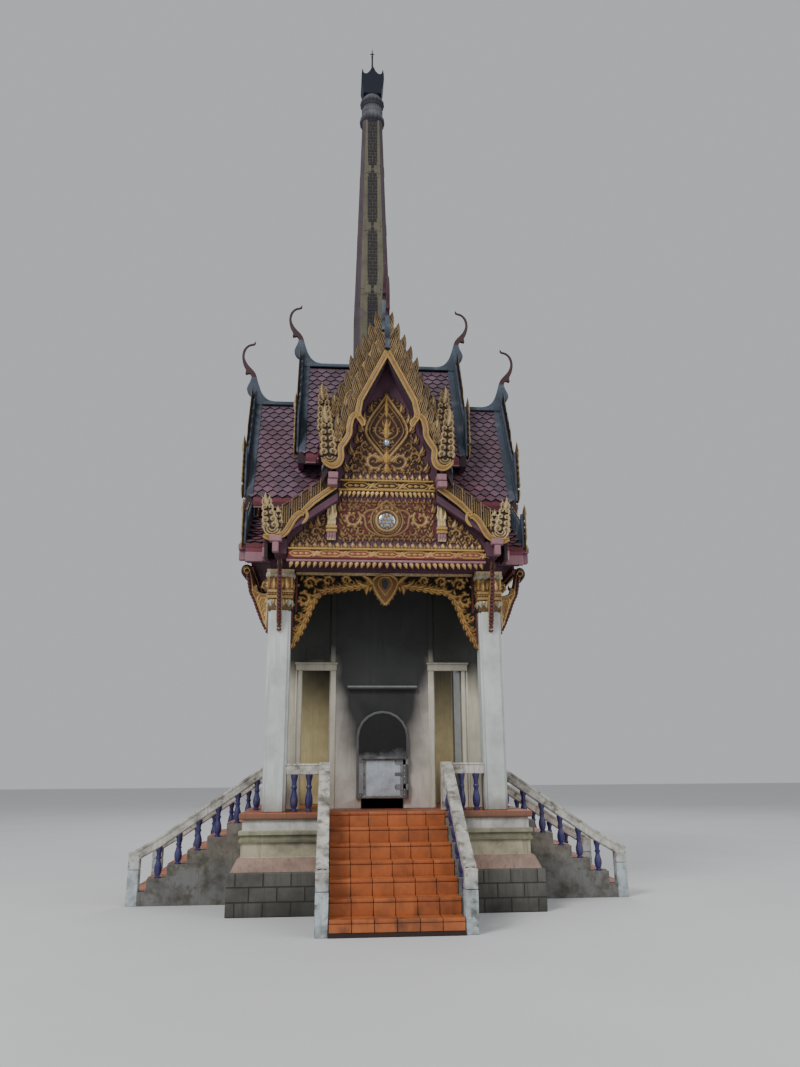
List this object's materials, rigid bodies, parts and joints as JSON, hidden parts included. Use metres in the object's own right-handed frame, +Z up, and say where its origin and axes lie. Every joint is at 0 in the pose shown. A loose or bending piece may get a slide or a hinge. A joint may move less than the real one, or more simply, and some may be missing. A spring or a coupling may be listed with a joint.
{
  "type": "thai crematorium shrine with a cross-gabled roof and a tall chimney behind",
  "caption": "Open columned shrine with a steep tiered cross-gabled roof, a hinged furnace door, tiled steps with balustrades and a tall tapered chimney.",
  "frame": {"origin": "at ground level under the crossing of the roofs", "axes": "+Z up, -Y towards the front steps and the furnace door, +X to the right of a viewer who faces the front"},
  "size_m": [8.05, 8.155, 20.95],
  "materials": {
    "plaster": "matt lime-washed plaster, stained",
    "dado": "matt painted render with grime",
    "stair_tile": "satin terracotta tile with dark joints",
    "weathered": "weathered painted concrete with moss",
    "gold": "worn gold paint on moulded cement",
    "roof_tile": "dull glazed roof tile",
    "fascia": "faded red paint",
    "soot": "sooted masonry",
    "shaft_paint": "weathered painted render",
    "steel": "heat-stained steel plate",
    "dark_metal": "sooty metal"
  },
  "bodies": {
    "building": {"attic_walls": "soot", "ceiling": "soot", "chimney_cap": "dark_metal", "chimney_collar": "weathered", "chimney_shaft": "shaft_paint", "floor": "stair_tile", "flue_duct": "plaster", "front_bargeboards": "gold", "front_gable": "gold", "front_left_balustrade": "weathered", "front_left_capital": "gold", "front_left_column": "plaster", "front_left_skirt_roof": "fascia", "front_right_balustrade": "weathered", "front_right_capital": "gold", "front_right_column": "plaster", "front_right_skirt_roof": "fascia", "front_roof": "roof_tile", "front_steps": "stair_tile", "front_upper_bargeboards": "gold", "front_valance": "gold", "furnace_body": "soot", "furnace_door_frame": "steel", "furnace_front": "plaster", "left_bargeboards": "gold", "left_front_balustrade": "weathered", "left_gable": "gold", "left_rear_balustrade": "weathered", "left_roof": "roof_tile", "left_screen_wall": "plaster", "left_steps": "stair_tile", "left_upper_bargeboards": "gold", "left_valance": "gold", "platform": "dado", "rear_bargeboards": "gold", "rear_gable": "gold", "rear_left_capital": "gold", "rear_left_column": "plaster", "rear_left_skirt_roof": "fascia", "rear_right_capital": "gold", "rear_right_column": "plaster", "rear_right_skirt_roof": "fascia", "rear_roof": "roof_tile", "rear_upper_bargeboards": "gold", "rear_valance": "gold", "rear_wall": "plaster", "right_bargeboards": "gold", "right_front_balustrade": "weathered", "right_gable": "gold", "right_rear_balustrade": "weathered", "right_roof": "roof_tile", "right_screen_wall": "plaster", "right_steps": "stair_tile", "right_upper_bargeboards": "gold", "right_valance": "gold", "ring_beam": "plaster", "upper_roof": "roof_tile"},
    "door": {"furnace_door": "steel"}
  },
  "joints": [
    {"name": "furnace_door_hinge", "type": "hinge", "parent": "building", "child": "door", "pos_m": [0.424, -0.9763, 1.94], "axis": [0, 0, 1], "range_deg": [0, 110]}
  ]
}
